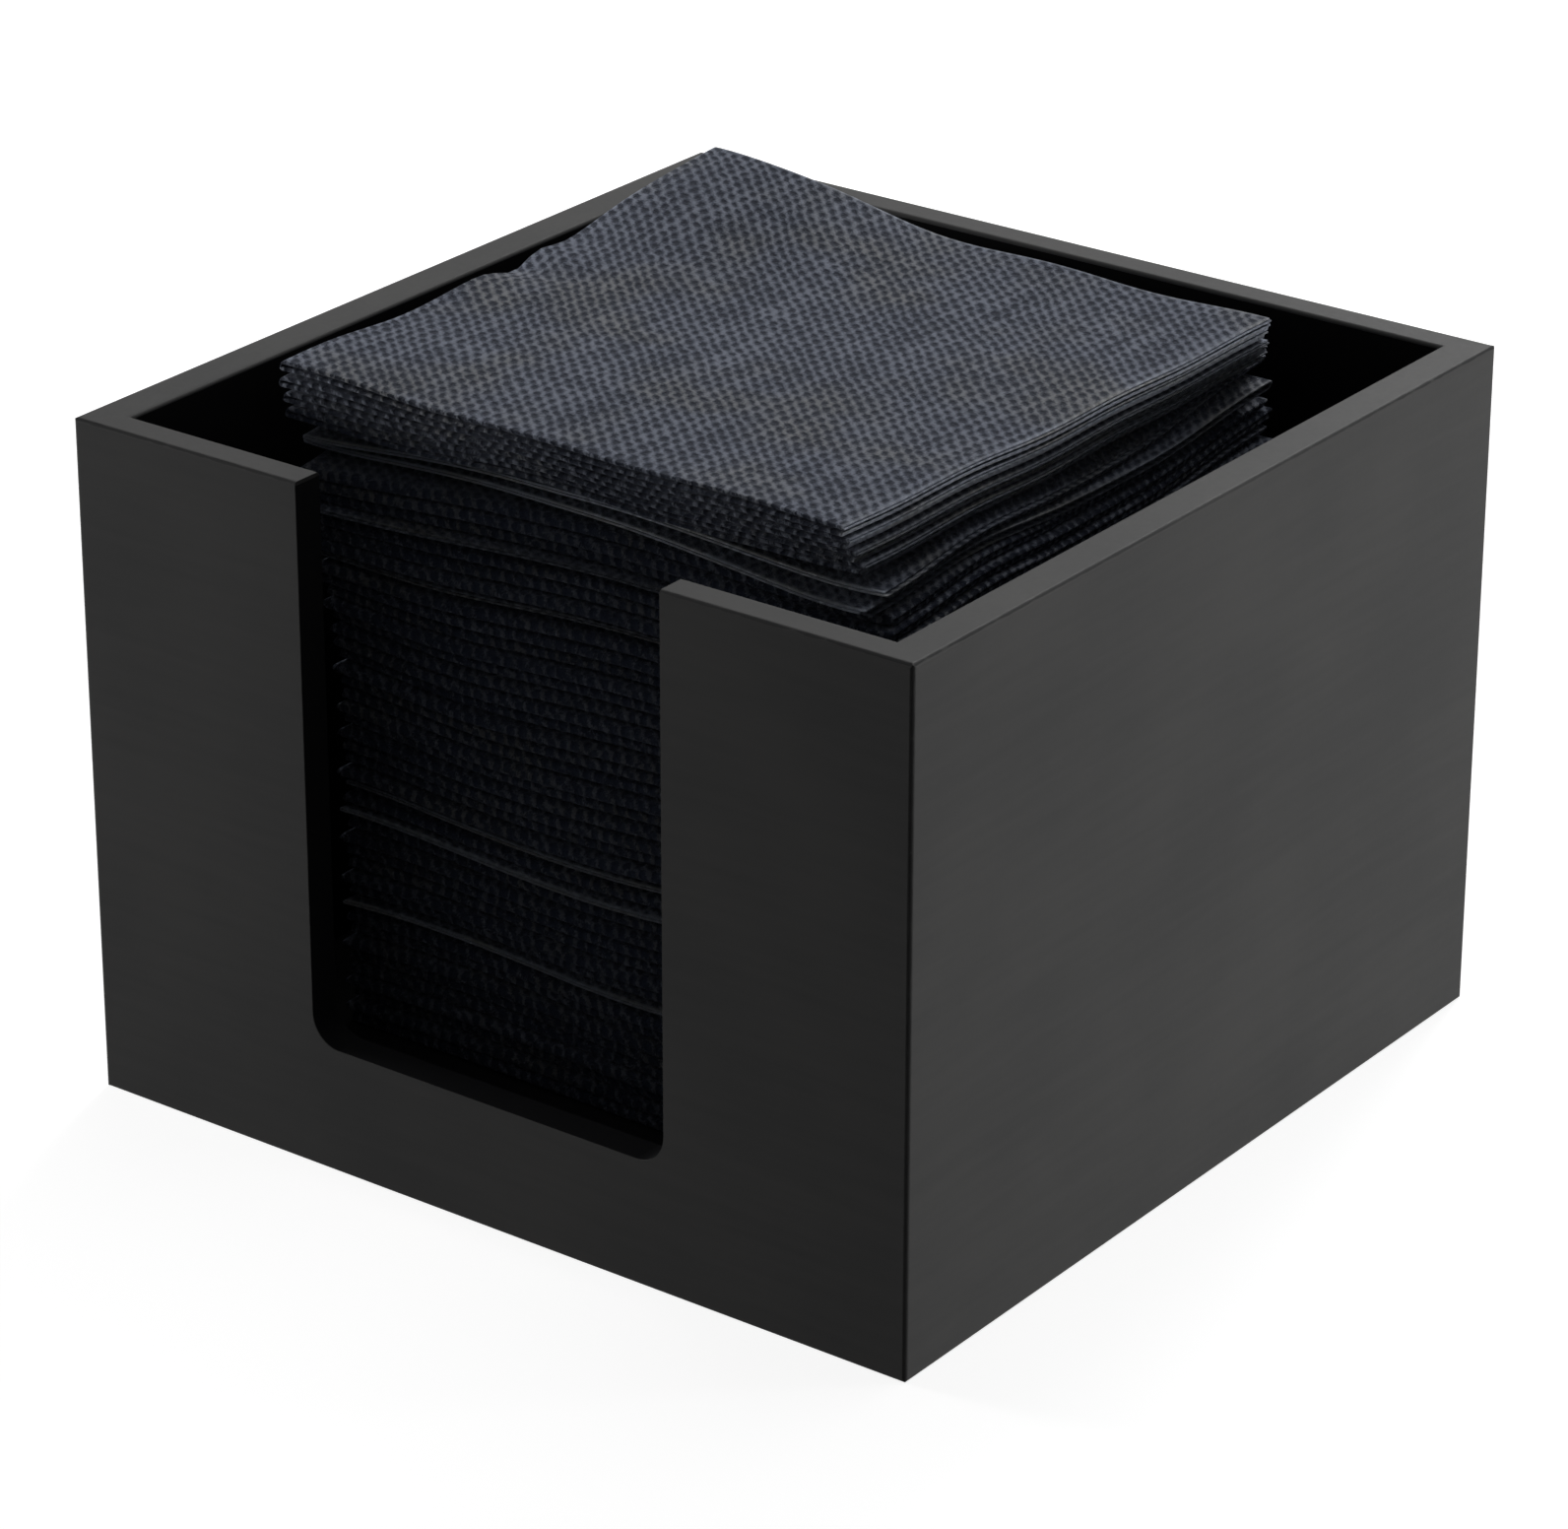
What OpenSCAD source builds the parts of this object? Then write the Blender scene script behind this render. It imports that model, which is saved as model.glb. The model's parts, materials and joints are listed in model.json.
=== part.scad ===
// Counter-top napkin dispenser: a square open box of painted boards with a hand slot in front,
// filled with a loose stack of folded napkins. The origin is the centre of the footprint on the
// table, the front faces -Y and the right-hand side faces +X. All sizes are in millimetres.

/* [Napkins] */
// Side of one napkin when folded twice
napkin_side = 127; // [110:1:140]
// Height that one folded napkin takes up in the stack
napkin_pitch = 2.6; // [2.2:0.1:3]
// Loose air over each napkin before the next one
napkin_air = 0.6; // [0.5:0.1:0.8]
// Lift of the curled back left corner of the topmost napkin
corner_curl = 7.5; // [2:0.5:9]
// Turn of the topmost napkin, seen from above
bundle_turn = -1.1; // [-2:0.1:2]

/* [Holder] */
// Room for fingers between the stack and the side panels
hand_room = 20.5; // [16:0.5:26]
// Height of the walls
wall_height = 134; // [110:1:150]
// Thickness of the left and right panels
side_thickness = 8; // [7:0.5:10]
// Thickness of the front and back panels
front_thickness = 6.5; // [6:0.5:9]
// Radius of the eased edges
edge_radius = 0.75; // [0.5:0.25:2]

/* [Hand slot] */
// Width of the slot cut down from the front panel's rim
slot_width = 80; // [60:1:100]
// Height of the slot's floor above the table
slot_floor = 25; // [18:1:40]
// Radius of the slot's two lower corners
slot_radius = 6; // [3:0.5:12]

/* [Base] */
// Thickness of the base panel
base_thickness = 6.5; // [4:0.5:7]
// Height of the base panel's underside above the table
base_lift = 4; // [3:0.5:6]
// Depth of the groove that holds the base panel
groove_depth = 3; // [2:0.5:3.5]

/* [Hidden] */
// Napkins in the stack, and how many of them lie at the top as one shifted bundle
napkin_count = 50;
bundle_count = 4;
below_bundle = napkin_count - bundle_count;
// One napkin near the top of the stack has slipped
slipped_napkin = below_bundle - 1;

board_names = ["front_panel", "back_panel", "left_panel", "right_panel", "base_panel"];
function napkin_name(k) = str("napkin_", k < 10 ? "0" : "", k);

paint = [0.17, 0.17, 0.17];
cloth = [0.20, 0.21, 0.25];
$fn = 48;

// Clearances: the base panel in its groove, and the lowest napkin over the base panel
groove_fit = 0.1;
rest_air = 0.3;
// Cutters run this far past what they cut
past = 1;

// The plan is square, and its sides follow from the napkin and the room around it
outer = napkin_side + 2 * (hand_room + side_thickness);
half = outer / 2;
inner_x = outer - 2 * side_thickness;
inner_y = outer - 2 * front_thickness;
stack_floor = base_lift + base_thickness + rest_air;

// The stack is twisted: from a first share of its height to a second one it moves between these two
// centres in plan, and turns by this much
low_centre = [5, 3.5];
high_centre = [-5, 5];
high_turn = 3;
twist_from = 0.5;
twist_to = 0.92;
// Centre of the topmost napkin. The bundle is fanned out: this is the step, in plan and in degrees,
// from each of its napkins to the one below.
bundle_centre = [-4.8, 0.8];
bundle_step = [-0.15, 0.5];
bundle_step_turn = 0.7;
slipped_centre = [-5.2, 3.3];
slipped_turn = 0.2;
// Each napkin lies a little off its neighbours, by up to this much and this many degrees
scatter = 0.8;
scatter_turn = 0.4;

// How far the corners at the top stand above its middle
corner_lift = 0.4;
// Gentle ripple of the topmost napkins, and its length along X and Y
ripple = 0.2;
ripple_length = [95, 70];
// The curled corner fades over this distance
curl_width = 38;
// Under the bundle the stack droops at the right, at both front corners and at one place in front, over
// these distances, and evens out below. Places are in half napkins from the topmost napkin's centre.
droop_napkins = 14;
droop_width = 35;
right_droop = 3.5;
right_droop_at = [1, 0.3];
front_right_droop = 3;
front_left_width = 24;
front_left_droop = 3.6;
front_dip_width = 18;
front_dip = 1.6;
front_dip_at = [-1 / 12, -1];

// Facets of one napkin across its width and along its depth
napkin_columns = 6;
napkin_rows = 5;
napkin_thickness = napkin_pitch - napkin_air;

function smooth(t) = let (c = min(max(t, 0), 1)) c * c * (3 - 2 * c);
function bump(place, centre, reach) = exp(-pow(norm(place - centre) / reach, 2));
function rise(k) = (k - 1) / (napkin_count - 1);
function twist(k) = smooth((rise(k) - twist_from) / (twist_to - twist_from));

// Golden-angle steps scatter the napkins without a repeat that the eye finds, and the bundle is neater
golden_angle = 137.508;
bundle_unrest = 0.3;
shift_start_angle = 70;
turn_start_angle = 140;
function unrest(k, start) = sin(golden_angle * k + start) * (k > below_bundle ? bundle_unrest : 1);
// The stack, the slipped napkin and the bundle each have their own place and turn
function of_group(k, stack, slipped, bundle) =
  k > below_bundle ? bundle : k == slipped_napkin ? slipped : stack;
function napkin_centre(k) =
  let (
    in_stack = low_centre + twist(k) * (high_centre - low_centre),
    in_bundle = bundle_centre + (napkin_count - k) * bundle_step
  )
  of_group(k, in_stack, slipped_centre, in_bundle)
    + scatter * [unrest(k, 0), unrest(k, shift_start_angle)];
function napkin_turn(k) =
  of_group(k, twist(k) * high_turn, slipped_turn, bundle_turn + (napkin_count - k) * bundle_step_turn)
    + scatter_turn * unrest(k, turn_start_angle);

// Height of napkin k's underside at a place in plan
function bundle_share(k) = max(0, k - below_bundle) / bundle_count;
function droop_share(k) = k > below_bundle ? 0 : max(0, 1 - (below_bundle - k) / droop_napkins);
function droop(place) =
  let (reach = napkin_side / 2)
  right_droop * bump(place, bundle_centre + reach * right_droop_at, droop_width)
    + front_right_droop * bump(place, bundle_centre + reach * [1, -1], droop_width)
    + front_left_droop * bump(place, bundle_centre + reach * [-1, -1], front_left_width)
    + front_dip * bump(place, bundle_centre + reach * front_dip_at, front_dip_width);
function underside(k, place) =
  let (
    reach = napkin_side / 2,
    curled = bundle_centre + [-reach, reach],
    wave = sin(360 * place.x / ripple_length.x) * cos(360 * place.y / ripple_length.y)
  )
  stack_floor + (k - 1) * napkin_pitch
    + rise(k) * (corner_lift * pow(place.x * place.y / (reach * reach), 2) + ripple * wave)
    + bundle_share(k) * corner_curl * bump(place, curled, curl_width)
    - droop_share(k) * droop(place);

// A place on napkin k, from shares 0 to 1 of its width and of its depth from the front
function on_napkin(k, across, inward) =
  let (
    x = (across - 0.5) * napkin_side,
    y = (inward - 0.5) * napkin_side,
    turn = napkin_turn(k)
  )
  napkin_centre(k) + [x * cos(turn) - y * sin(turn), x * sin(turn) + y * cos(turn)];

// One column of points: the underside from the back to the front, the fold's nose, then the top to the back
nose_share = napkin_thickness / 2 / napkin_side;
function raised(k, place, height) = [place.x, place.y, underside(k, place) + height];
function column(k, across) =
  let (steps = [for (row = [napkin_rows:-1:0]) nose_share + (1 - nose_share) * row / napkin_rows])
  concat(
    [for (inward = steps) raised(k, on_napkin(k, across, inward), 0)],
    [raised(k, on_napkin(k, across, 0), napkin_thickness / 2)],
    [for (row = [0:napkin_rows])
      raised(k, on_napkin(k, across, steps[napkin_rows - row]), napkin_thickness)]
  );

column_points = 2 * napkin_rows + 3;
function under(i, j) = i * column_points + j;
function nose(i) = under(i, napkin_rows + 1);
function over(i, j) = under(i, column_points - 1 - j);
function quad(a, b, c, d) = [[a, b, c], [a, c, d]];
function flat_list(lists) = [for (list = lists) for (item = list) item];

napkin_faces = flat_list(concat(
  [for (i = [0:napkin_columns - 1]) for (j = [0:napkin_rows - 1])
    quad(under(i, j), under(i, j + 1), under(i + 1, j + 1), under(i + 1, j))],
  [for (i = [0:napkin_columns - 1]) for (j = [0:napkin_rows - 1])
    [for (face = quad(over(i, j), over(i, j + 1), over(i + 1, j + 1), over(i + 1, j)))
      [face[2], face[1], face[0]]]],
  [for (i = [0:napkin_columns - 1])
    quad(under(i, 0), under(i + 1, 0), over(i + 1, 0), over(i, 0))],
  [for (i = [0:napkin_columns - 1])
    quad(under(i, napkin_rows), nose(i), nose(i + 1), under(i + 1, napkin_rows))],
  [for (i = [0:napkin_columns - 1])
    quad(nose(i), over(i, napkin_rows), over(i + 1, napkin_rows), nose(i + 1))],
  [for (j = [0:napkin_rows - 1])
    quad(under(0, j), over(0, j), over(0, j + 1), under(0, j + 1))],
  [for (j = [0:napkin_rows - 1])
    quad(under(napkin_columns, j), under(napkin_columns, j + 1),
      over(napkin_columns, j + 1), over(napkin_columns, j))],
  [[[under(0, napkin_rows), over(0, napkin_rows), nose(0)]]],
  [[[under(napkin_columns, napkin_rows), nose(napkin_columns), over(napkin_columns, napkin_rows)]]]
));

// A folded napkin: a soft slab with a rounded fold at the front, draped over the one below it
module napkin(k) {
  points = [for (i = [0:napkin_columns]) for (point = column(k, i / napkin_columns)) point];
  color(cloth)
    polyhedron(points, napkin_faces);
}

// What is planed off a square edge that lies along the corner of the first quadrant
module edge_waste() {
  difference() {
    translate([-past, -past])
      square(edge_radius + past);
    translate([edge_radius, edge_radius])
      circle(edge_radius);
  }
}

// The waste along an edge that runs in X, at depth y and height z.
// `inward` and `up` are 1 or -1 and say on which side of the edge the board lies.
module edge_cut(y, z, inward, up) {
  translate([-half - past, y, z])
    rotate([90, 0, 90])
      linear_extrude(outer + 2 * past)
        scale([inward, up])
          edge_waste();
}

// A board along the front of the box, mitred to meet neighbours of another thickness at its ends
module mitred_board(thickness, neighbour) {
  difference() {
    linear_extrude(wall_height)
      polygon([
        [-half, -half],
        [half, -half],
        [half - neighbour, -half + thickness],
        [-half + neighbour, -half + thickness]
      ]);
    edge_cut(-half, wall_height, 1, -1);
    edge_cut(-half + thickness, wall_height, -1, -1);
    edge_cut(-half, 0, 1, 1);
    for (end = [-1, 1])
      translate([end * half, -half, -past])
        linear_extrude(wall_height + 2 * past)
          scale([-end, 1])
            edge_waste();
  }
}

// The pocket for the base panel, which leaves a groove in each wall
module base_groove() {
  pocket_x = inner_x + 2 * groove_depth;
  pocket_y = inner_y + 2 * groove_depth;
  translate([-pocket_x / 2, -pocket_y / 2, base_lift - groove_fit])
    cube([pocket_x, pocket_y, base_thickness + 2 * groove_fit]);
}

// The slot is open at the rim, and its two lower corners are round
module hand_slot() {
  reach = slot_width / 2;
  translate([0, -half - past, 0])
    rotate([90, 0, 0])
      mirror([0, 0, 1])
        linear_extrude(front_thickness + 2 * past) {
          translate([-reach, slot_floor + slot_radius])
            square([slot_width, wall_height]);
          translate([-reach + slot_radius, slot_floor])
            square([slot_width - 2 * slot_radius, wall_height]);
          for (end = [-1, 1])
            translate([end * (reach - slot_radius), slot_floor + slot_radius])
              circle(slot_radius);
        }
}

module front_panel() {
  color(paint)
    difference() {
      mitred_board(front_thickness, side_thickness);
      base_groove();
      hand_slot();
    }
}

module back_panel() {
  color(paint)
    difference() {
      rotate([0, 0, 180])
        mitred_board(front_thickness, side_thickness);
      base_groove();
    }
}

module side_panel(turn) {
  color(paint)
    difference() {
      rotate([0, 0, turn])
        mitred_board(side_thickness, front_thickness);
      base_groove();
    }
}

module left_panel() {
  side_panel(-90);
}

module right_panel() {
  side_panel(90);
}

// The base reaches into the groove on all four sides, just short of its bottom
module base_panel() {
  reach = groove_depth - groove_fit;
  size_x = inner_x + 2 * reach;
  size_y = inner_y + 2 * reach;
  color(paint)
    translate([-size_x / 2, -size_y / 2, base_lift])
      cube([size_x, size_y, base_thickness]);
}

front_panel();
back_panel();
left_panel();
right_panel();
base_panel();
for (k = [1:napkin_count])
  napkin(k);
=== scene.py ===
# %% [markdown]
# # A napkin dispenser, dressed for its picture
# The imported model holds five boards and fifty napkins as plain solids, at their real size and place.
# This lesson gives them their looks: paint on the boards, and every napkin folded from its own square
# of cloth. Both share one frame, in metres: the front faces -Y, the right side +X, the table is z = 0.

# %% load the solids
import json
import math

import bpy
import numpy as np
from mathutils import Matrix, Vector


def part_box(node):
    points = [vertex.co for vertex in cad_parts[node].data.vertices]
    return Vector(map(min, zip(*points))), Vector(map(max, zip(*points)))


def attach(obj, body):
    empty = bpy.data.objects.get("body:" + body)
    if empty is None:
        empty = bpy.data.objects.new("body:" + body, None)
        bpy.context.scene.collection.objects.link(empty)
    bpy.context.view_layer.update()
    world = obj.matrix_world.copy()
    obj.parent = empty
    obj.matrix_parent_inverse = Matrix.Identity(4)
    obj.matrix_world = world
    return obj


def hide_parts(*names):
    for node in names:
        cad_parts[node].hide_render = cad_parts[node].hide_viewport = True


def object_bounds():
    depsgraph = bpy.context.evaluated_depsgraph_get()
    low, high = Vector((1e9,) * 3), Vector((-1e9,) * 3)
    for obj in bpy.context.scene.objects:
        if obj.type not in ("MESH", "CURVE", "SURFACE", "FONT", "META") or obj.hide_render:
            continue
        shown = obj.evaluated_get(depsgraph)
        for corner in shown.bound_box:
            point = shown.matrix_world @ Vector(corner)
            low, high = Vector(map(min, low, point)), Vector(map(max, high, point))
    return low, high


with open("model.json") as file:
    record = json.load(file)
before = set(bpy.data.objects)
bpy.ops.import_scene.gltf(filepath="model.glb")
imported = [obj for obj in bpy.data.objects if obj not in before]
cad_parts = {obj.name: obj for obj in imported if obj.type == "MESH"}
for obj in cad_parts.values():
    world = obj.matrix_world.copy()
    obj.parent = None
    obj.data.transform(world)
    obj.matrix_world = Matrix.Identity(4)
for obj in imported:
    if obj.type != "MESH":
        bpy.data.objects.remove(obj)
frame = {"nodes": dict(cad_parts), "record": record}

cad_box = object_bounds()
boards = [name for name in frame["nodes"] if name.endswith("_panel")]
napkin_count = len(frame["nodes"]) - len(boards)
print("boards:", boards, "and napkins:", napkin_count)

# %% [markdown]
# ## The camera
# A camera can be placed by eye, or solved from edges whose directions are known. The box gives twelve
# such edges, so its turn, lift, roll, distance and lens were worked out from where their corners show.
# The lens is long, which keeps the upright edges nearly parallel.

# %% camera
mm = 0.001
camera_turn = math.radians(36.64)
camera_lift = math.radians(24.48)
camera_roll = math.radians(0.107)
camera_distance = 1154.3 * mm
aim_right = -1.9 * mm
aim_up = 52.5 * mm
sensor_width = 36
lens_length = 139.4


def camera_axes():
    """The camera's right, up and backward directions."""
    backward = Vector((
        math.sin(camera_turn) * math.cos(camera_lift),
        -math.cos(camera_turn) * math.cos(camera_lift),
        math.sin(camera_lift),
    ))
    level = Vector((0, 0, 1)).cross(backward).normalized()
    upright = backward.cross(level)
    right = level * math.cos(camera_roll) + upright * math.sin(camera_roll)
    return right, backward.cross(right), backward


right, up, backward = camera_axes()
camera_data = bpy.data.cameras.new("camera")
camera = bpy.data.objects.new("camera", camera_data)
bpy.context.scene.collection.objects.link(camera)
camera.matrix_world = Matrix((right, up, backward)).transposed().to_4x4()
camera.location = right * aim_right + up * aim_up + backward * camera_distance
camera_data.sensor_fit = "HORIZONTAL"
camera_data.sensor_width = sensor_width
camera_data.lens = lens_length
bpy.context.scene.camera = camera
print("camera at", [round(c, 3) for c in camera.location])

# %% [markdown]
# ## Helpers for materials
# Every finish below is worked out by nodes, so that it can be seen from anywhere and needs no picture.
# `calc` writes one step of arithmetic, and lets a formula be read from top to bottom.


# %% material helpers
def new_material(name):
    """An empty node material: returns it, its node tree and its shader."""
    material = bpy.data.materials.new(name)
    material.use_nodes = True
    return material, material.node_tree, material.node_tree.nodes["Principled BSDF"]


def put(tree, socket, value):
    """Links a socket to another one, or writes a plain value on it."""
    if isinstance(value, bpy.types.NodeSocket):
        tree.links.new(value, socket)
    else:
        socket.default_value = value


def calc(tree, operation, *values, clamp=False):
    """One Math node, and its result."""
    node = tree.nodes.new("ShaderNodeMath")
    node.operation = operation
    node.use_clamp = clamp
    for socket, value in zip(node.inputs, values):
        put(tree, socket, value)
    return node.outputs[0]


def between(tree, value, low, high):
    """How far a value has come from low to high, eased at both ends, from 0 to 1."""
    node = tree.nodes.new("ShaderNodeMapRange")
    node.interpolation_type = "SMOOTHSTEP"
    put(tree, node.inputs["Value"], value)
    node.inputs["From Min"].default_value = low
    node.inputs["From Max"].default_value = high
    return node.outputs["Result"]


def blotches(tree, place, scale, detail=2.0, stretch=(1, 1, 1)):
    """Noise from 0 to 1 over a place, with patches about 1 / scale metres wide."""
    mapping = tree.nodes.new("ShaderNodeMapping")
    mapping.inputs["Scale"].default_value = stretch
    tree.links.new(place, mapping.inputs["Vector"])
    noise = tree.nodes.new("ShaderNodeTexNoise")
    noise.inputs["Scale"].default_value = scale
    noise.inputs["Detail"].default_value = detail
    tree.links.new(mapping.outputs["Vector"], noise.inputs["Vector"])
    return noise.outputs["Fac"]


def colour_steps(tree, value, steps):
    """Colours that follow a value: steps is a list of (value, colour)."""
    ramp = tree.nodes.new("ShaderNodeValToRGB")
    tree.links.new(value, ramp.inputs["Fac"])
    while len(ramp.color_ramp.elements) < len(steps):
        ramp.color_ramp.elements.new(0.5)
    for element, (position, colour) in zip(ramp.color_ramp.elements, steps):
        element.position = position
        element.color = (*colour, 1)
    return ramp.outputs["Color"]


def mixed(tree, share, first, second, blend="MIX"):
    """Two colours mixed by a share."""
    node = tree.nodes.new("ShaderNodeMix")
    node.data_type = "RGBA"
    node.blend_type = blend
    put(tree, node.inputs["Factor"], share)
    for socket, colour in zip(node.inputs[6:8], (first, second)):
        put(tree, socket, colour if isinstance(colour, bpy.types.NodeSocket) else (*colour, 1))
    return node.outputs[2]


def raise_surface(tree, shader, height, strength, distance):
    """Bump from a height of 0 to 1."""
    bump = tree.nodes.new("ShaderNodeBump")
    bump.inputs["Strength"].default_value = strength
    bump.inputs["Distance"].default_value = distance
    tree.links.new(height, bump.inputs["Height"])
    tree.links.new(bump.outputs["Normal"], shader.inputs["Normal"])


print("helpers for arithmetic, noise, colours and bump are ready")

# %% [markdown]
# ## The studio
# The box stands on a pale floor. Soft lamps light it from above and behind, and two low ones graze its
# right side and its front, so that little light gets past the walls to the sides of the stack. The floor
# could be lit until it looks white, but it would then throw light up at the dark front. So it glows. It
# is seen nearly white, with a faint shadow, and quite white further away, and it throws back little light.

# %% floor
floor_side = 8.0
floor_seen = (0.5, 0.5, 0.5)
floor_glow = 0.86
floor_thrown = (0.08, 0.08, 0.08)
white_from, white_to = 0.3, 1.0


def seen_directly(tree):
    """1 for what the camera sees, also in gloss or through glass, and 0 for light on its way."""
    path = tree.nodes.new("ShaderNodeLightPath")
    glossy = calc(tree, "ADD", path.outputs["Is Camera Ray"], path.outputs["Is Glossy Ray"])
    return calc(tree, "ADD", glossy, path.outputs["Is Transmission Ray"], clamp=True)


def floor_material():
    """Pale with a shadow where it is seen, and dark for the light that it throws back."""
    material, tree, shader = new_material("pale_floor")
    tree.nodes.remove(shader)
    thrown = tree.nodes.new("ShaderNodeBsdfDiffuse")
    thrown.inputs["Color"].default_value = (*floor_thrown, 1)
    lit = tree.nodes.new("ShaderNodeBsdfDiffuse")
    lit.inputs["Color"].default_value = (*floor_seen, 1)
    glow = tree.nodes.new("ShaderNodeEmission")
    distance = tree.nodes.new("ShaderNodeVectorMath")
    distance.operation = "LENGTH"
    tree.links.new(tree.nodes.new("ShaderNodeTexCoord").outputs["Object"], distance.inputs[0])
    far = between(tree, distance.outputs["Value"], white_from, white_to)
    put(tree, glow.inputs["Strength"], calc(tree, "MULTIPLY_ADD", far, 1 - floor_glow, floor_glow))
    both = tree.nodes.new("ShaderNodeAddShader")
    tree.links.new(lit.outputs[0], both.inputs[0])
    tree.links.new(glow.outputs[0], both.inputs[1])
    choice = tree.nodes.new("ShaderNodeMixShader")
    tree.links.new(seen_directly(tree), choice.inputs[0])
    tree.links.new(thrown.outputs[0], choice.inputs[1])
    tree.links.new(both.outputs[0], choice.inputs[2])
    tree.links.new(choice.outputs[0], tree.nodes["Material Output"].inputs["Surface"])
    return material


bpy.ops.object.select_all(action="DESELECT")
bpy.ops.mesh.primitive_plane_add(size=floor_side)
floor = bpy.context.object
floor.name = "floor"
floor.data.materials.append(floor_material())
print("floor of", floor_side, "m")

# %% lights
sky_level = 0.03
lamps = {
    "overhead": dict(place=(0.05, 0.40, 1.40), size=1.2, level=0.25),
    "behind": dict(place=(-0.30, 1.20, 0.90), size=0.6, level=0.52),
    "right_side": dict(place=(0.90, 0.65, 0.04), size=0.2, level=0.66),
    "left_side": dict(place=(-0.90, -0.26, 0.12), size=0.25, level=0.80),
}


def white_level_power(level, distance):
    """The power at which a lamp facing a white surface at a distance shows it at this level."""
    return level * math.pi ** 2 * distance ** 2


def add_lamp(name, place, size, level):
    """A round soft lamp that faces the middle of the object."""
    data = bpy.data.lights.new(name, "AREA")
    data.shape = "DISK"
    data.size = size
    lamp = bpy.data.objects.new(name, data)
    bpy.context.scene.collection.objects.link(lamp)
    target = Vector((0, 0, cad_box[1][2] / 2))
    towards = target - Vector(place)
    lamp.location = place
    lamp.rotation_euler = towards.to_track_quat("-Z", "Y").to_euler()
    data.energy = white_level_power(level, towards.length)


def add_sky():
    """A sky that is seen white and gives only a little light."""
    world = bpy.data.worlds.new("studio")
    world.use_nodes = True
    tree = world.node_tree
    dim = tree.nodes["Background"]
    dim.inputs["Color"].default_value = (1, 1, 1, 1)
    dim.inputs["Strength"].default_value = sky_level
    white = tree.nodes.new("ShaderNodeBackground")
    white.inputs["Color"].default_value = (1, 1, 1, 1)
    choice = tree.nodes.new("ShaderNodeMixShader")
    tree.links.new(seen_directly(tree), choice.inputs[0])
    tree.links.new(dim.outputs[0], choice.inputs[1])
    tree.links.new(white.outputs[0], choice.inputs[2])
    tree.links.new(choice.outputs[0], tree.nodes["World Output"].inputs["Surface"])
    bpy.context.scene.world = world


for name, facts in lamps.items():
    add_lamp(name, **facts)
add_sky()
bpy.context.scene.view_settings.view_transform = "Standard"
print("lamps:", list(lamps))

# %% [markdown]
# ## The painted boards
# The boards are sprayed a satin dark grey over a filled and sanded edge. The solids already have the
# mitres, the eased edges and the round slot corners, so they stay, and only their colour is made here:
# a faint cloudiness, grain that shows through the paint, a thin dark line of painted shade along the
# outer edges, and a dark inside.

# %% paint
side_thickness, front_thickness = 8 * mm, 6.5 * mm
half_width = cad_box[1][0]
wall_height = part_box("right_panel")[1].z
inner_half_x = -(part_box("left_panel")[0].x + side_thickness)
inner_half_y = -(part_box("front_panel")[0].y + front_thickness)
paint_low = (0.066, 0.066, 0.066)
paint_high = (0.082, 0.081, 0.080)
# The dark of the painted shade line along the outer edges.
edge_shade_colour = (0.030, 0.030, 0.031)
inside_dark = (0.005, 0.005, 0.0055)
roughness_least, roughness_spread = 0.46, 0.12
paint_lap = 0.2 * mm
rim_lap = 0.75 * mm
# How wide the painted shade line along the outer edges is: its least width and its spread.
edge_shade_least, edge_shade_spread = 0.3 * mm, 0.4 * mm
corner_reach = 200 * mm
slot_half = 40 * mm
slot_floor = 25 * mm


def painted_edge_shade(tree, place, x, y, z):
    """A thin dark line of painted shade along the outer edges, from 0 to 1: most at the top corners."""
    from_side = calc(tree, "SUBTRACT", half_width, calc(tree, "ABSOLUTE", x))
    from_front = calc(tree, "SUBTRACT", half_width, calc(tree, "ABSOLUTE", y))
    from_top = calc(tree, "SUBTRACT", wall_height, z)
    upright = calc(tree, "ADD", from_side, from_front)
    side_rim = calc(tree, "ADD", from_side, from_top)
    front_rim = calc(tree, "ADD", from_front, from_top)
    from_edge = calc(tree, "MINIMUM", upright, calc(tree, "MINIMUM", side_rim, front_rim))
    patches = blotches(tree, place, scale=260, detail=3)
    ragged = calc(tree, "MULTIPLY_ADD", patches, edge_shade_spread, edge_shade_least)
    along_edge = calc(tree, "LESS_THAN", from_edge, ragged)
    from_corner = calc(tree, "ADD", upright, from_top)
    return calc(tree, "MULTIPLY", along_edge, between(tree, from_corner, corner_reach, -corner_reach / 2))


def inside_share(tree, x, y, z):
    """1 inside the box and on the cut faces of the slot, and 0 outside and on the rims."""
    past_sides = calc(tree, "LESS_THAN", calc(tree, "ABSOLUTE", x), inner_half_x + paint_lap)
    past_ends = calc(tree, "LESS_THAN", calc(tree, "ABSOLUTE", y), inner_half_y + paint_lap)
    below_rim = calc(tree, "LESS_THAN", z, wall_height - rim_lap)
    well = calc(tree, "MULTIPLY", calc(tree, "MULTIPLY", past_sides, past_ends), below_rim)
    in_slot = calc(tree, "LESS_THAN", calc(tree, "ABSOLUTE", x), slot_half + paint_lap)
    over_sill = calc(tree, "GREATER_THAN", z, slot_floor - paint_lap)
    behind_face = calc(tree, "GREATER_THAN", y, paint_lap - half_width)
    cut = calc(tree, "MULTIPLY", calc(tree, "MULTIPLY", in_slot, over_sill), behind_face)
    at_front = calc(tree, "LESS_THAN", y, 0)
    slot = calc(tree, "MULTIPLY", calc(tree, "MULTIPLY", cut, at_front), below_rim)
    return calc(tree, "MAXIMUM", well, slot)


def weighted(tree, first, second, first_share):
    """A sum of two heights or tones, weighted by the share of the first one."""
    rest = calc(tree, "MULTIPLY", second, 1 - first_share)
    return calc(tree, "MULTIPLY_ADD", first, first_share, rest)


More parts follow.
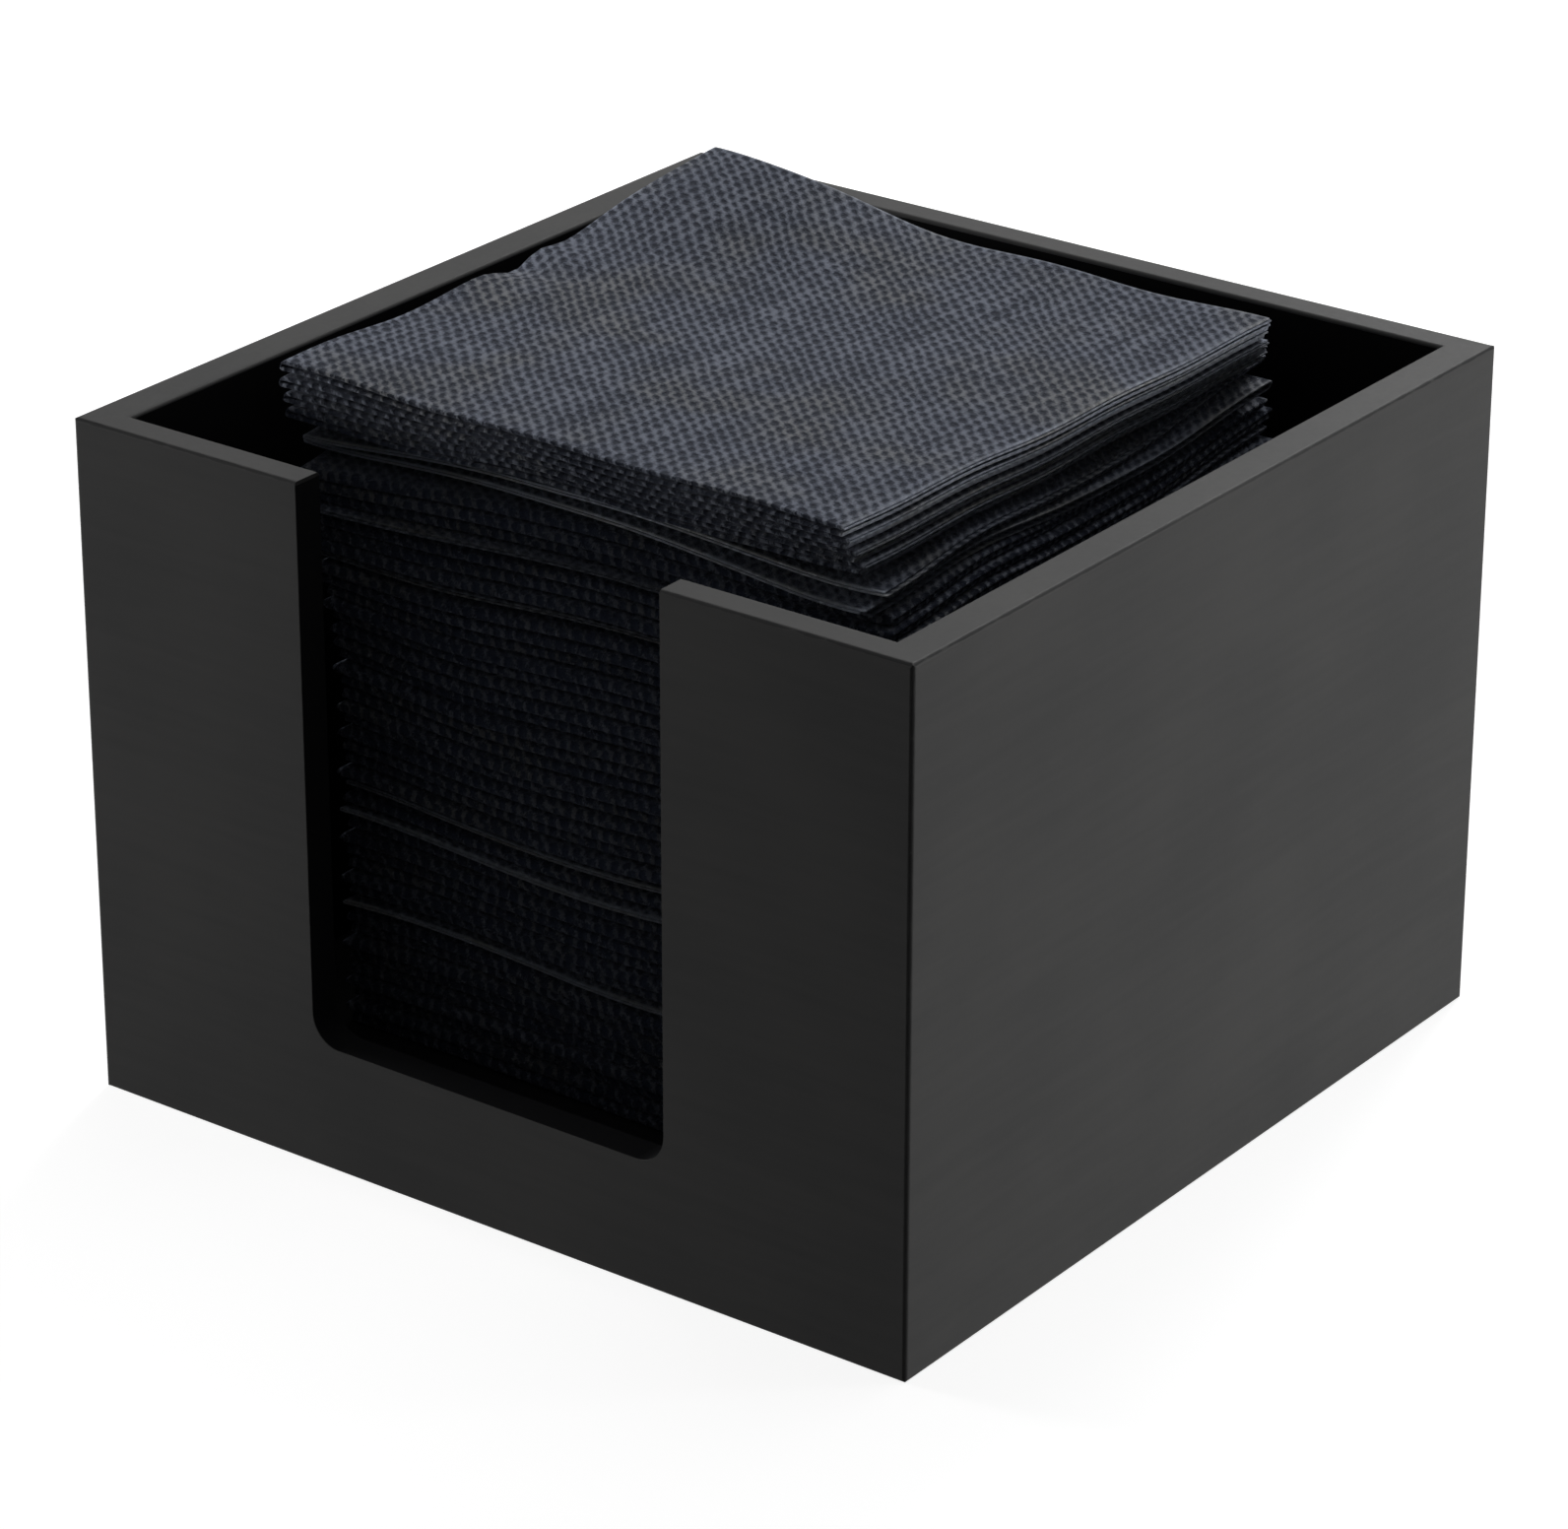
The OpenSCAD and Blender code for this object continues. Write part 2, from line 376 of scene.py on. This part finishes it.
def painted_board():
    """Satin paint, with its colour, gloss and height from noise."""
    material, tree, shader = new_material("painted_board")
    place = tree.nodes.new("ShaderNodeTexCoord").outputs["Object"]
    apart = tree.nodes.new("ShaderNodeSeparateXYZ")
    tree.links.new(place, apart.inputs[0])
    cloudy = blotches(tree, place, scale=22, detail=4)
    grain = blotches(tree, place, scale=30, detail=3, stretch=(1, 1, 16))
    speckle = blotches(tree, place, scale=900)
    tone = weighted(tree, cloudy, grain, first_share=0.7)
    colour = mixed(tree, between(tree, tone, low=0.3, high=0.7), paint_low, paint_high)
    # A thin dark line of painted shade along the outer edges.
    edge_shade = painted_edge_shade(tree, place, *apart.outputs)
    colour = mixed(tree, edge_shade, colour, edge_shade_colour)
    colour = mixed(tree, inside_share(tree, *apart.outputs), colour, inside_dark)
    put(tree, shader.inputs["Base Color"], colour)
    roughness = calc(tree, "MULTIPLY_ADD", speckle, roughness_spread, roughness_least)
    put(tree, shader.inputs["Roughness"], roughness)
    shader.inputs["Specular IOR Level"].default_value = 0.05
    height = weighted(tree, speckle, grain, first_share=0.7)
    raise_surface(tree, shader, height, strength=0.12, distance=0.1 * mm)
    return material


paint = painted_board()
for name in boards:
    board = frame["nodes"][name]
    board.data.materials.clear()
    board.data.materials.append(paint)
print("painted", len(boards), "boards")

# %% [markdown]
# ## How the napkins lie
# The stack isn't neat. It is twisted towards the top, one napkin has slipped, and the last four lie over
# it as a fanned bundle, turned the other way. Under them the stack droops, and the topmost corner curls
# up. The solids follow the formulas below, and the cloth follows the same ones, so each napkin ends up
# where its solid is.

# %% the stack's shape
napkin_side = 127 * mm
napkin_pitch = 2.6 * mm
napkin_reach = napkin_side / 2
rest_air = 0.3 * mm
stack_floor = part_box("base_panel")[1].z + rest_air
bundle_count = 4
below_bundle = napkin_count - bundle_count
slipped_napkin = below_bundle - 1
low_centre = np.array((5.0, 3.5)) * mm
high_centre = np.array((-5.0, 5.0)) * mm
high_turn = 3.0
twist_from, twist_to = 0.5, 0.92
bundle_centre = np.array((-4.8, 0.8)) * mm
bundle_step = np.array((-0.15, 0.5)) * mm
bundle_turn = -1.1
bundle_step_turn = 0.7
slipped_centre = np.array((-5.2, 3.3)) * mm
slipped_turn = 0.2
scatter, scatter_turn = 0.8 * mm, 0.4
golden_angle = 137.508
shift_start, turn_start = 70, 140
bundle_unrest = 0.3


def bump(x, y, centre, width):
    """A round hill, 1 at its centre."""
    return np.exp(-((x - centre[0]) ** 2 + (y - centre[1]) ** 2) / width ** 2)


def rise(k):
    """How far up the stack napkin k lies, from 0 to 1."""
    return (k - 1) / (napkin_count - 1)


def eased(share):
    """A share held between 0 and 1, and eased at both ends."""
    share = np.clip(share, 0, 1)
    return share * share * (3 - 2 * share)


def twist(k):
    """How far the stack has twisted at napkin k, from 0 to 1."""
    return eased((rise(k) - twist_from) / (twist_to - twist_from))


def unrest(k, start):
    """A number from -1 to 1 for napkin k that looks random. The bundle is neater."""
    return math.sin(math.radians(golden_angle * k + start)) * (bundle_unrest if k > below_bundle else 1)


def of_group(k, stack, slipped, bundle):
    """The value for the group that napkin k belongs to."""
    if k > below_bundle:
        return bundle
    return slipped if k == slipped_napkin else stack


def napkin_centre(k):
    """The middle of napkin k in plan."""
    shift = np.array((unrest(k, 0), unrest(k, shift_start)))
    in_stack = low_centre + twist(k) * (high_centre - low_centre)
    in_bundle = bundle_centre + (napkin_count - k) * bundle_step
    return of_group(k, in_stack, slipped_centre, in_bundle) + scatter * shift


def napkin_turn(k):
    """The turn of napkin k in plan, in radians."""
    in_bundle = bundle_turn + (napkin_count - k) * bundle_step_turn
    turn = of_group(k, twist(k) * high_turn, slipped_turn, in_bundle)
    return math.radians(turn + scatter_turn * unrest(k, turn_start))


def centre_error(k):
    """How far napkin k's formula is from the middle of its solid, in plan."""
    low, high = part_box(f"napkin_{k:02d}")
    middle = np.array((low + high)[:2]) / 2
    return float(np.abs(napkin_centre(k) - middle).max())


print("centres agree within", max(centre_error(k) for k in range(1, napkin_count + 1)) / mm, "mm")

# %% heights
corner_lift = 0.4 * mm
ripple = 0.2 * mm
ripple_length = (95 * mm, 70 * mm)
corner_curl = 7.5 * mm
curl_width = 38 * mm
droop_napkins = 14
droop_width = 35 * mm
right_droop = 3.5 * mm
right_droop_at = (1, 0.3)
front_right_droop = 3 * mm
front_left_width = 24 * mm
front_left_droop = 3.6 * mm
front_dip_width = 18 * mm
front_dip = 1.6 * mm
front_dip_at = (-1 / 12, -1)


def on_bundle(across, along):
    """A place in plan, in shares of half a napkin from the middle of the topmost one."""
    return bundle_centre + napkin_reach * np.array((across, along))


def droop(x, y):
    """How far the stack sags just under the bundle."""
    return (
        right_droop * bump(x, y, on_bundle(*right_droop_at), droop_width)
        + front_right_droop * bump(x, y, on_bundle(1, -1), droop_width)
        + front_left_droop * bump(x, y, on_bundle(-1, -1), front_left_width)
        + front_dip * bump(x, y, on_bundle(*front_dip_at), front_dip_width)
    )


def bundle_share(k):
    """From 0 below the bundle to 1 at its top."""
    return max(0, k - below_bundle) / bundle_count


def underside(k, x, y):
    """Height of napkin k's underside at places in plan, as in the solids."""
    wave = np.sin(2 * math.pi * x / ripple_length[0]) * np.cos(2 * math.pi * y / ripple_length[1])
    droop_share = 0 if k > below_bundle else max(0, 1 - (below_bundle - k) / droop_napkins)
    return (
        stack_floor + (k - 1) * napkin_pitch
        + rise(k) * (corner_lift * (x * y / napkin_reach ** 2) ** 2 + ripple * wave)
        + bundle_share(k) * corner_curl * bump(x, y, on_bundle(-1, 1), curl_width)
        - droop_share * droop(x, y)
    )


deepest = float(droop(*on_bundle(*right_droop_at)))
print("under the bundle the stack sags by", round(deepest / mm, 1), "mm at the right")

# %% [markdown]
# ## Wavy edges
# Cloth never lies quite flat at its edges. A simulation could show that, but fifty packets lie too close
# together for it, so sums of waves do it here, small enough to leave the neighbours room. Most hems wave
# more than the folds do, the front of the stack sways, and the two napkins under the bundle lift a little
# at the left. The bundle's left edge has a crease where its corner starts to curl, and sags behind it. All
# of it fades inwards.

# %% wavy edges
loose_wave = 0.4 * mm
fold_wave = 0.25 * mm
edge_width = 14 * mm
side_crest = -6 * mm
side_wave_length = 42 * mm
end_wave_length = 47 * mm
crease_height = 1.3 * mm
crease_middle = 7.5 * mm
crease_width = 4.5 * mm
left_sag = 1.1 * mm
sag_from, sag_to = -8 * mm, 12 * mm
hem_lift = 0.9 * mm
sway = 0.9 * mm
sway_crest = -20 * mm
sway_length = 90 * mm
sway_step = 0.12
sway_from = 8


def under_bundle(k):
    """1 for the two napkins just under the bundle, and 0 for the others."""
    return int(slipped_napkin <= k <= below_bundle)


def edge_lift(k, x, y, own_x, own_y):
    """How far the edges stand above the solid's shape, fading inwards.

    x and y are places in plan, own_x and own_y the same places along the napkin's own sides.
    """
    side = np.cos(2 * math.pi * (y - side_crest) / side_wave_length)
    end = np.sin(2 * math.pi * x / end_wave_length)
    left, right = (np.exp((way * own_x - napkin_reach) / edge_width) for way in (-1, 1))
    front, back = (np.exp((way * own_y - napkin_reach) / edge_width) for way in (-1, 1))
    past_crease = (y - crease_middle) / crease_width
    crease = crease_height * past_crease * np.exp((1 - past_crease ** 2) / 2)
    crease = crease - left_sag * eased((y - sag_from) / (sag_to - sag_from))
    at_sides = left * (loose_wave * side + crease * bundle_share(k)) - right * fold_wave * side
    at_ends = end * (loose_wave * back - fold_wave * front)
    lifted = under_bundle(k) * hem_lift * (napkin_reach - own_x) / napkin_side * front
    swaying = sway * np.cos(2 * math.pi * (x - sway_crest) / sway_length + sway_step * k) * front
    sway_share = min(1, k / sway_from) * (1 - bundle_share(k))
    return rise(k) * (at_sides + at_ends + lifted) + sway_share * swaying


front_edge = np.linspace(-napkin_reach, napkin_reach)
front_lifts = edge_lift(below_bundle, front_edge, -napkin_reach, front_edge, -napkin_reach)
print("the front edge under the bundle waves by", round(float(np.ptp(front_lifts)) / mm, 1), "mm")

# %% [markdown]
# ## Folding one napkin
# Each napkin is a 254 mm square, folded in half and then in half again the other way. It could be four
# flat plates, but then no edge would look like a fold. Here a flat grid is bent: the distance of a point
# from the fold line says how far round the fold it has come. The outer plies go round the inner ones, as
# in real cloth. A packet has two folded sides and two sides with hems, and which of them faces the front
# depends on how it was put down: the stack shows folds, the bundle its first folds, and a few napkins
# their hems. Those few are listed below, with how strong a painted highlight their hems get, which
# stands in for light caught on the edges.

# %% fold
sheet_side = 2 * napkin_side
ply_thickness = 0.30 * mm
pair_pitch = 0.44 * mm
packet_pitch = 1.70 * mm
pair_slip = 0.5 * mm
fold_fullness = 0.65
skew_most = 0.5 * mm
turned_skew = -1.2 * mm
skew_u_start, skew_v_start = 25, 215
# Napkins that lie with their hems to the front, and how strong the painted highlight on those hems is.
front_hems_and_highlight = {46: 1.0, 45: 1.0, 41: 0.2, 37: 0.2, 19: 0.6, 17: 0.6, 10: 0.7}


def squared(value):
    """Sines and cosines drawn towards 1 and -1, which turns a round fold into a fuller one."""
    return np.sign(value) * np.abs(value) ** fold_fullness


def round_fold(from_fold, radius):
    """Where a strip lies after a fold: its distance from the middle, and how far up it is, 0 to 1."""
    angle = np.clip((from_fold + math.pi * radius / 2) / radius, 0, math.pi)
    before = np.minimum(from_fold + math.pi * radius / 2, 0)
    after = np.maximum(from_fold - math.pi * radius / 2, 0)
    along = napkin_reach - radius + radius * squared(np.sin(angle)) + before - after
    return along, (1 - squared(np.cos(angle))) / 2


def folded(u, v, skew_u, skew_v):
    """Folds flat places of the sheet, u across and v from the back, into a small packet.

    The first fold lays two plies close together, and the second one lays that pair over itself. Returns
    the places in plan, their height, and how far they belong to the upper pair, 0 to 1.
    """
    x, first = round_fold(u - napkin_side - skew_u, pair_pitch / 2)
    room = packet_pitch - 2 * pair_pitch * first
    y, second = round_fold(v - napkin_side - skew_v, room / 2)
    return x, -y, pair_pitch * first + room * second, second


def way_round(k):
    """Which way round napkin k lies, as signs across and along.

    Most napkins have their first fold to the right and the second one to the front. A few lie the other
    way round, with their hems to the front.
    """
    if k in front_hems_and_highlight:
        return -1, -1
    return 1, of_group(k, 1, 1, -1)


def packet(k, u, v):
    """Folds the sheet of napkin k as it lies: places around its middle, heights and upper pair shares.

    The napkins of the bundle have their first fold to the front and the second one to the left.
    """
    skew_u = skew_most * unrest(k, skew_u_start)
    skew_v = turned_skew if k in front_hems_and_highlight else skew_most * unrest(k, skew_v_start)
    if k > below_bundle:
        y, x, up, second = folded(v, u, skew_v, skew_u)
    else:
        x, y, up, second = folded(u, v, skew_u, skew_v)
    way_across, way_along = way_round(k)
    return way_across * x, way_along * y, up, second


def crowded(share, crowding=0.92):
    """Shares 0 to 1 moved so that they crowd at the fold in the middle and at both ends."""
    return share - crowding * np.sin(4 * math.pi * share) / (4 * math.pi)


print("a folded napkin is", round((packet_pitch + ply_thickness) / mm, 2), "mm thick")

# %% napkin builder
slant_most = 0.003
slant_start = 300
bundle_pull = 0.024
hems_back = 3 * mm
weave_step_u, weave_step_v = 1.13 * mm, 0.71 * mm
noise_step = 0.05
# The hems get a painted highlight: how wide it is, and how strong in the stack and in the bundle.
hem_highlight_width = 0.5 * mm
stack_hem_highlight, bundle_hem_highlight = 0.04, 0.35
# Widths of the painted shade and highlight along the first and second folds.
first_fold_shade_width, second_fold_shade_width = 0.6 * mm, 1.7 * mm


def grid_of_cloth(name, divisions):
    """A flat grid primitive, and the share of its width and length at each point."""
    bpy.ops.object.select_all(action="DESELECT")
    bpy.ops.mesh.primitive_grid_add(
        x_subdivisions=divisions, y_subdivisions=divisions, size=1, calc_uvs=False)
    cloth = bpy.context.object
    cloth.name = name
    cloth.data.name = name
    places = np.zeros(len(cloth.data.vertices) * 3)
    cloth.data.vertices.foreach_get("co", places)
    places = places.reshape(-1, 3)
    return cloth, places[:, 0] + 0.5, places[:, 1] + 0.5


def hem_highlight_share(k, u, v):
    """How much painted highlight the hems get, standing in for light caught on the edges, most of all at
    those that face the front.
    """
    side_hem = np.minimum(u, sheet_side - u) / hem_highlight_width
    end_hem = np.minimum(v, sheet_side - v) / hem_highlight_width
    side_highlight = of_group(k, stack_hem_highlight, bundle_hem_highlight, bundle_hem_highlight)
    end_highlight = front_hems_and_highlight.get(k, side_highlight)
    return np.maximum(side_highlight * np.exp(-side_hem ** 2), end_highlight * np.exp(-end_hem ** 2))


def fold_shade_share(k, u, v):
    """How far a place lies at a fold, where painted shade darkens the gaps between the thread crowns and
    painted highlight lightens the crowns.
    """
    first, second = (v, u) if k > below_bundle else (u, v)
    in_first = np.exp(-((first - napkin_side) / first_fold_shade_width) ** 2)
    in_second = np.exp(-((second - napkin_side) / second_fold_shade_width) ** 2)
    return np.maximum(in_first, in_second)


def laid_out(k, u, v):
    """Where the flat places of napkin k's sheet end up in the stack."""
    x, y, up, second = packet(k, u, v)
    slip = pair_slip + slant_most * unrest(k, slant_start) * (napkin_reach + y)
    pulled = of_group(k, 0, 0, bundle_pull) * (napkin_reach + y) / napkin_side
    y = y + under_bundle(k) * hems_back * (napkin_reach - x) / napkin_side
    x = x * (1 + pulled) - slip * (1 - second)
    turn = napkin_turn(k)
    centre = napkin_centre(k)
    plan_x = centre[0] + x * math.cos(turn) - y * math.sin(turn)
    plan_y = centre[1] + x * math.sin(turn) + y * math.cos(turn)
    lift = underside(k, plan_x, plan_y) + edge_lift(k, plan_x, plan_y, x, y)
    return plan_x, plan_y, lift + ply_thickness / 2 + up


def note_vectors(cloth, name, *columns):
    """Keeps three numbers for each point of the cloth, for its material."""
    attribute = cloth.data.attributes.new(name, "FLOAT_VECTOR", "POINT")
    attribute.data.foreach_set("vector", np.stack(columns, 1).ravel())


def build_napkin(k, divisions):
    """Folds one sheet, and notes where its weave, its hems and its folds are."""
    cloth, across, along = grid_of_cloth(f"folded_napkin_{k:02d}", divisions)
    u = sheet_side * crowded(across)
    v = sheet_side * crowded(along)
    cloth.data.vertices.foreach_set("co", np.stack(laid_out(k, u, v), 1).ravel())
    way_across, way_along = way_round(k)
    woven_u = way_across * u + weave_step_u * k
    woven_v = way_along * v + weave_step_v * k
    note_vectors(cloth, "flat_place", woven_u, woven_v, np.full_like(u, noise_step * k))
    note_vectors(cloth, "edge_light_and_shade", hem_highlight_share(k, u, v), fold_shade_share(k, u, v), np.zeros_like(u))
    solid = cloth.modifiers.new("thickness", "SOLIDIFY")
    solid.thickness = ply_thickness
    solid.offset = 0
    bpy.ops.object.modifier_apply(modifier=solid.name)
    bpy.ops.object.shade_smooth()
    return cloth


print("a flat sheet is", round(sheet_side / mm), "mm square")

# %% [markdown]
# ## The cloth
# The napkins are a soft slate cloth in an open twill: pale threads run both ways and form a diagonal
# rib, around small dark pits two and a half millimetres apart. The colour follows the weave's height: the
# pits are darker, partly from the cloth's own colour and partly as painted shade, and the highest crowns
# are paler as painted highlight. The threads are uneven, some thicker than others, and patches lean to
# blue or to olive. The weave is worked out on the flat sheet, so it turns round every fold with the cloth.
# At the folds, painted shade darkens the cloth between the thread crowns and painted highlight lightens
# them, like rows of beads, and the hems are pale lines of painted highlight.

# %% cloth
warp_spacing, weft_spacing = 2.38 * mm, 2.56 * mm
warp_slant, weft_slant = 0.07, 0.23
twill_share, warp_share, weft_share = 0.50, 0.32, 0.18
long_stray, short_stray = 0.5, 0.25
slub_stretch = 0.08
pit_level, thread_level, knuckle_level = 0.25, 0.46, 0.87
# Colours by the weave's height. The pits are darker, partly own colour and partly painted shade. The
# threads are own colour, and the crowns are paler as painted highlight.
pit_colour_and_shade = (0.004, 0.006, 0.012)
thread_colour = (0.053, 0.058, 0.073)
knuckle_highlight_colour = (0.230, 0.236, 0.259)
# Pale tones of the painted highlight on the hems.
hem_highlight_low = (0.44, 0.45, 0.48)
hem_highlight_high = (0.80, 0.81, 0.84)
# At the folds, painted shade deepens the gaps between the thread crowns and painted highlight lightens the
# crowns.
fold_shade_contrast = 1.6
fold_shade_level = 0.72
blue_cast = (0.93, 0.99, 1.10)
olive_cast = (1.00, 1.00, 0.95)


def wander(tree, place, scale, turns):
    """How far the threads stray from straight lines, in turns of the weave to both sides."""
    return calc(tree, "MULTIPLY_ADD", blotches(tree, place, scale), 2 * turns, -turns)


def thread_turns(tree, place, spacing, *strays):
    """Threads counted across the cloth, so that each whole number is the furrow between two."""
    stray = calc(tree, "ADD", *strays)
    return calc(tree, "MULTIPLY_ADD", place, 1 / spacing, stray)


def furrows(tree, turns, share):
    """A wave with a furrow at each whole turn."""
    wave = calc(tree, "COSINE", calc(tree, "MULTIPLY", turns, 2 * math.pi))
    return calc(tree, "MULTIPLY", wave, -share)


def weave_height(tree, place):
    """The weave's height, from 0 in a pit at each whole turn to nearly 1 on the threads around it."""
    apart = tree.nodes.new("ShaderNodeSeparateXYZ")
    tree.links.new(place, apart.inputs[0])
    u, v = apart.outputs[:2]
    across = thread_turns(tree, calc(tree, "MULTIPLY_ADD", v, -warp_slant, u), warp_spacing,
                          wander(tree, place, scale=48, turns=long_stray),
                          wander(tree, place, scale=330, turns=short_stray))
    along = thread_turns(tree, calc(tree, "MULTIPLY_ADD", u, -weft_slant, v), weft_spacing,
                         wander(tree, place, scale=53, turns=long_stray),
                         wander(tree, place, scale=350, turns=short_stray))
    twill = furrows(tree, calc(tree, "ADD", across, along), twill_share)
    threads = calc(tree, "ADD", furrows(tree, across, warp_share), furrows(tree, along, weft_share))
    return calc(tree, "MULTIPLY_ADD", calc(tree, "ADD", twill, threads), 0.5, 0.5)


def noted_vectors(tree, name):
    """The three numbers kept for each point of the cloth."""
    node = tree.nodes.new("ShaderNodeAttribute")
    node.attribute_name = name
    return node.outputs["Vector"]


def napkin_cloth():
    """Woven cloth: its colour follows the height of the weave, darker in the pits partly as painted shade
    and paler on the crowns as painted highlight. The folds get more of both, and the hems a painted
    highlight.
    """
    material, tree, shader = new_material("napkin_cloth")
    place = noted_vectors(tree, "flat_place")
    fibre = blotches(tree, place, scale=2600, detail=3)
    slub_u = blotches(tree, place, scale=420, detail=1, stretch=(1, slub_stretch, 1))
    slub_v = blotches(tree, place, scale=450, detail=1, stretch=(slub_stretch, 1, 1))
    uneven = calc(tree, "MULTIPLY_ADD", calc(tree, "ADD", slub_u, slub_v), 0.5, -0.5)
    frayed = calc(tree, "SUBTRACT", fibre, 0.5)
    height = calc(tree, "ADD", weave_height(tree, place), calc(tree, "ADD", uneven, frayed))
    edge_light_and_shade = tree.nodes.new("ShaderNodeSeparateXYZ")
    tree.links.new(noted_vectors(tree, "edge_light_and_shade"), edge_light_and_shade.inputs[0])
    hem, fold = edge_light_and_shade.outputs[:2]
    # At the folds: painted shade between the thread crowns and painted highlight on them.
    crown_light_and_shade = calc(tree, "MULTIPLY_ADD", height, fold_shade_contrast, -fold_shade_contrast * fold_shade_level)
    shade = calc(tree, "MULTIPLY_ADD", fold, crown_light_and_shade, height)
    colour = colour_steps(tree, shade, [
        (pit_level, pit_colour_and_shade), (thread_level, thread_colour), (knuckle_level, knuckle_highlight_colour)])
    # Painted highlight on the hems.
    colour = mixed(tree, hem, colour, mixed(tree, fibre, hem_highlight_low, hem_highlight_high))
    patches = between(tree, blotches(tree, place, scale=45), low=0.45, high=0.7)
    cast = mixed(tree, patches, blue_cast, olive_cast)
    put(tree, shader.inputs["Base Color"], mixed(tree, 1.0, colour, cast, blend="MULTIPLY"))
    shader.inputs["Roughness"].default_value = 0.9
    shader.inputs["Specular IOR Level"].default_value = 0.15
    shader.inputs["Sheen Weight"].default_value = 0.25
    shader.inputs["Sheen Roughness"].default_value = 0.4
    shader.inputs["Sheen Tint"].default_value = (0.55, 0.6, 0.75, 1)
    raise_surface(tree, shader, height, strength=0.7, distance=0.5 * mm)
    return material


cloth_finish = napkin_cloth()
print("pits in a sheet:", round(sheet_side / warp_spacing), "by", round(sheet_side / weft_spacing))

# %% [markdown]
# ## The stack
# One folded sheet could be copied fifty times, but then all edges would look alike. So each sheet is
# folded by itself, from the bottom up. It rides on the body of the solid that it replaces, so that it is
# lifted out with it, and it rests on the sheet below.

# %% fold the stack
bundle_divisions, upper_divisions, lower_divisions = 140, 96, 64
upper_count = 10


def divisions_for(k):
    """Finer grids near the top, where more of a napkin shows."""
    if k > below_bundle:
        return bundle_divisions
    return upper_divisions if k > below_bundle - upper_count else lower_divisions


bodies = frame["record"]["behaviour"]["bodies"]
body_of = {node: body for body, nodes in bodies.items() for node in nodes}
for k in range(1, napkin_count + 1):
    node = f"napkin_{k:02d}"
    napkin = build_napkin(k, divisions_for(k))
    napkin.data.materials.append(cloth_finish)
    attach(napkin, body_of[node])
    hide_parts(node)
print("folded", napkin_count, "napkins")
